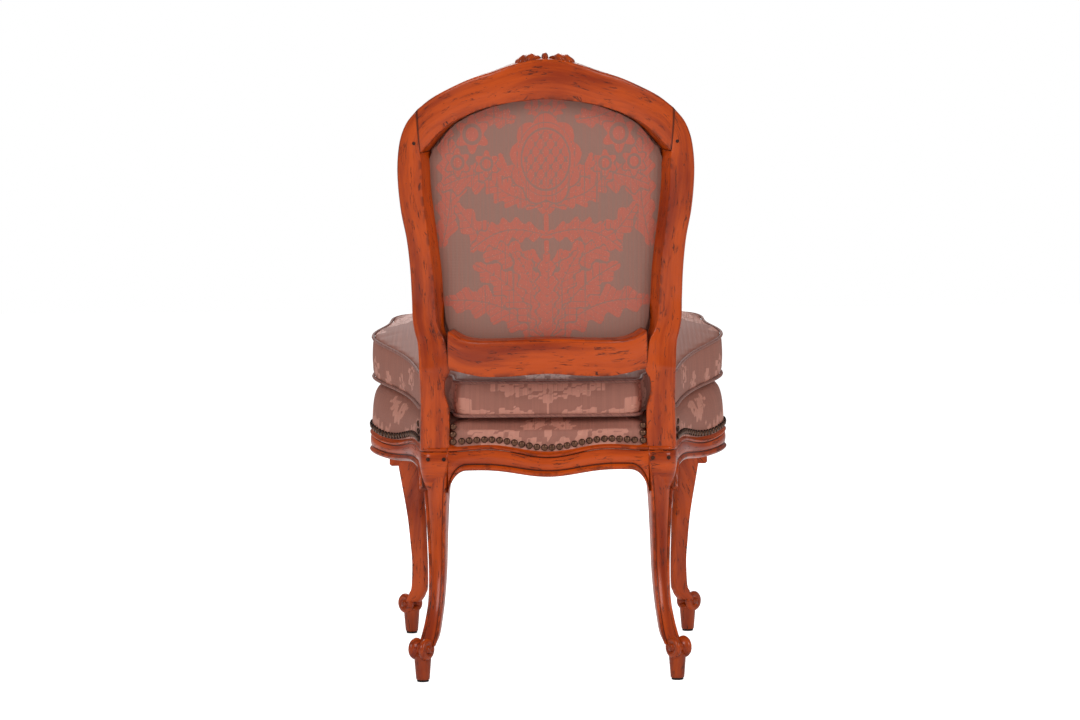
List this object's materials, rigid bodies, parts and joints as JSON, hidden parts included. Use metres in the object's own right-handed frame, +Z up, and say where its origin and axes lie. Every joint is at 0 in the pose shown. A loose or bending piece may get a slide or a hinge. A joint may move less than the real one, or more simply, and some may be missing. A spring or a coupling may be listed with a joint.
{
  "type": "fireside chair",
  "caption": "Low upholstered side chair with a curved open-framed back, carved crest, serpentine seat rails, cabriole legs and a loose T-shaped seat cushion.",
  "frame": {"origin": "on the floor, under the middle of the chair's whole depth and width", "axes": "+Z up; -Y the way the chair faces; +X the sitter's left"},
  "size_m": [0.5406, 0.5628, 0.891],
  "materials": {
    "frame_wood": "satin, distressed orange-brown stain",
    "peg_wood": "satin, dark",
    "block_wood": "raw",
    "glide": "matt",
    "screw_steel": "zinc",
    "webbing": "woven jute",
    "hessian": "plain weave",
    "stuffing": "felted",
    "foam": "open cell",
    "damask": "ribbed damask, satin figure",
    "welt": "ribbed",
    "nail_brass": "antiqued"
  },
  "bodies": {
    "chair": {"crest_rail": "frame_wood", "lower_back_rail": "frame_wood", "rear_seat_rail": "frame_wood", "front_seat_rail": "frame_wood", "side_seat_rail_left": "frame_wood", "side_seat_rail_right": "frame_wood", "rear_leg_left": "frame_wood", "rear_leg_right": "frame_wood", "front_leg_left": "frame_wood", "front_leg_right": "frame_wood", "joint_pegs": "peg_wood", "foot_glide_rear_left": "glide", "corner_block_rear_left": "block_wood", "foot_glide_rear_right": "glide", "corner_block_rear_right": "block_wood", "foot_glide_front_left": "glide", "corner_block_front_left": "block_wood", "foot_glide_front_right": "glide", "corner_block_front_right": "block_wood", "corner_block_screws": "screw_steel", "webbing_front_to_back": "webbing", "webbing_side_to_side": "webbing", "seat_hessian": "hessian", "seat_pad": "stuffing", "seat_cover": "damask", "seat_nails": "nail_brass", "back_nails": "nail_brass", "back_outer_cover": "damask", "back_lining": "hessian", "back_pad": "stuffing", "back_inner_cover": "damask"},
    "cushion": {"cushion_core": "foam", "cushion_cover": "damask", "cushion_welt_bottom": "welt", "cushion_welt_top": "welt"}
  },
  "joints": [
    {"name": "cushion_lift_off", "type": "slide", "parent": "chair", "child": "cushion", "axis": [0, -0.9829, 0.184], "range_m": [0, 0.5]}
  ]
}
